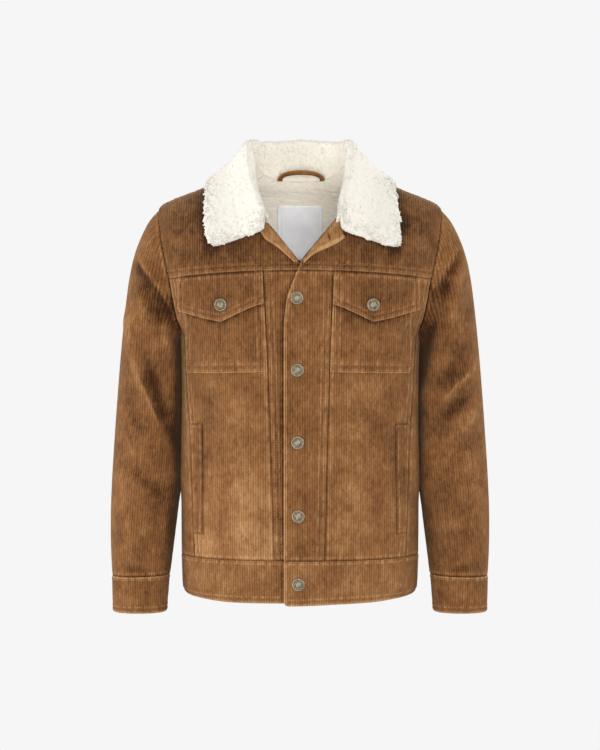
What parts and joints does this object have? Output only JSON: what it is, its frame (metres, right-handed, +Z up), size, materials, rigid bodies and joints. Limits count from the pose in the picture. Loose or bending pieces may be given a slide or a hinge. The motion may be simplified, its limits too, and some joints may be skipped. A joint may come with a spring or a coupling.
{
  "type": "corduroy jacket",
  "caption": "Boxy brown corduroy jacket with a turned-down sherpa collar, buttoned front, flap chest pockets, hand pockets, waistband and cuffs, filled out as worn.",
  "frame": {"origin": "middle of the neck, level with the points where the shoulder seams meet the collar, where a wearer carries the jacket", "axes": "+Z up along the wearer's spine, -Y forward through the buttoned front, +X to the wearer's left"},
  "size_m": [0.505, 0.2135, 0.6297],
  "materials": {
    "corduroy": "ribbed cotton corduroy",
    "sherpa": "curly cream pile",
    "metal": "aged nickel plate",
    "label": "satin weave"
  },
  "bodies": {
    "root": {"front_centre_left": "corduroy", "front_side_left": "corduroy", "front_yoke_left": "corduroy", "side_panel_left": "corduroy", "sleeve_left": "corduroy", "under_sleeve_left": "corduroy", "cuff_left": "corduroy", "lapel_left": "corduroy", "chest_pocket_left": "corduroy", "pocket_flap_left": "corduroy", "pocket_welt_left": "corduroy", "flap_button_left": "metal", "front_centre_right": "corduroy", "front_side_right": "corduroy", "front_yoke_right": "corduroy", "side_panel_right": "corduroy", "sleeve_right": "corduroy", "under_sleeve_right": "corduroy", "cuff_right": "corduroy", "lapel_right": "corduroy", "chest_pocket_right": "corduroy", "pocket_flap_right": "corduroy", "pocket_welt_right": "corduroy", "flap_button_right": "metal", "back_panel": "corduroy", "back_yoke": "corduroy", "waistband": "corduroy", "hanging_loop": "corduroy", "collar": "sherpa", "back_lining": "sherpa", "neck_label": "label", "front_button_1": "metal", "front_button_2": "metal", "front_button_3": "metal", "front_button_4": "metal", "front_button_5": "metal"}
  },
  "joints": []
}
